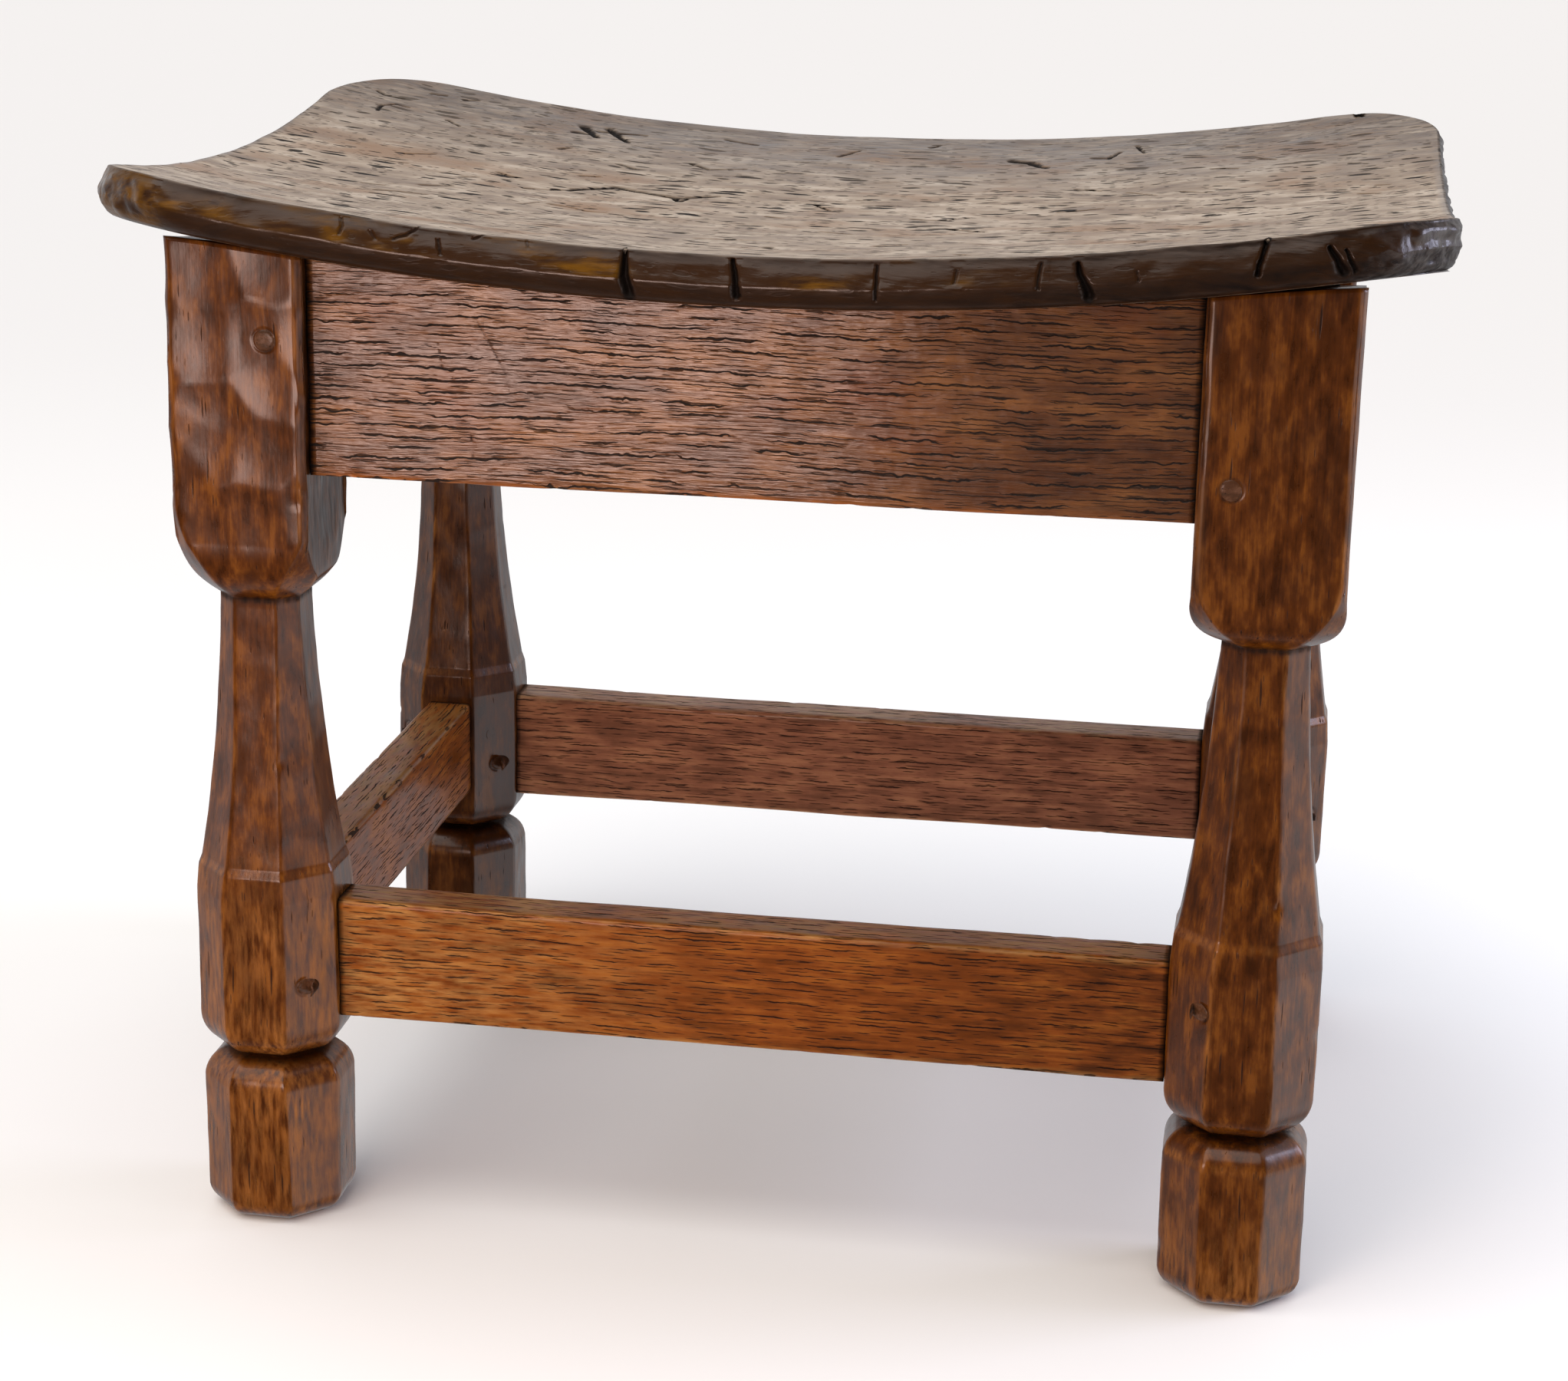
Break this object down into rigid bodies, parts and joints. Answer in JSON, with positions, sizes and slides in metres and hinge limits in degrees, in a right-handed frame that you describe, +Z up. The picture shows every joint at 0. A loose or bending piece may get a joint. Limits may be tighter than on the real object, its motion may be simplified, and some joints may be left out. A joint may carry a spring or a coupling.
{
  "type": "oak stool",
  "caption": "Low joined oak stool with a dished plank seat on faceted, waisted legs framed by pegged aprons and stretchers, to sit on.",
  "frame": {"origin": "on the floor, under the middle of the seat's plan", "axes": "+X along the seat's longer side, to the right of someone who looks at the front; +Y to the back; +Z up"},
  "size_m": [0.465, 0.34, 0.3835],
  "materials": {
    "seat_oak": "worn satin wax over fumed oak",
    "leg_oak": "adzed and waxed oak",
    "apron_oak": "adzed and waxed oak, open pores",
    "stretcher_oak": "adzed and waxed oak",
    "peg_oak": "end grain, darkened by wax",
    "button_oak": "sawn oak, unwaxed",
    "screw_steel": "dull steel"
  },
  "bodies": {
    "root": {"seat": "seat_oak", "leg_front_left": "leg_oak", "leg_front_right": "leg_oak", "leg_back_right": "leg_oak", "leg_back_left": "leg_oak", "apron_front": "apron_oak", "apron_right": "apron_oak", "apron_back": "apron_oak", "apron_left": "apron_oak", "stretcher_front": "stretcher_oak", "stretcher_right": "stretcher_oak", "stretcher_back": "stretcher_oak", "stretcher_left": "stretcher_oak", "apron_pegs_front": "peg_oak", "apron_pegs_right": "peg_oak", "apron_pegs_back": "peg_oak", "apron_pegs_left": "peg_oak", "stretcher_pegs_front": "peg_oak", "stretcher_pegs_right": "peg_oak", "stretcher_pegs_back": "peg_oak", "stretcher_pegs_left": "peg_oak", "seat_buttons": "button_oak", "button_screws": "screw_steel"}
  },
  "joints": []
}
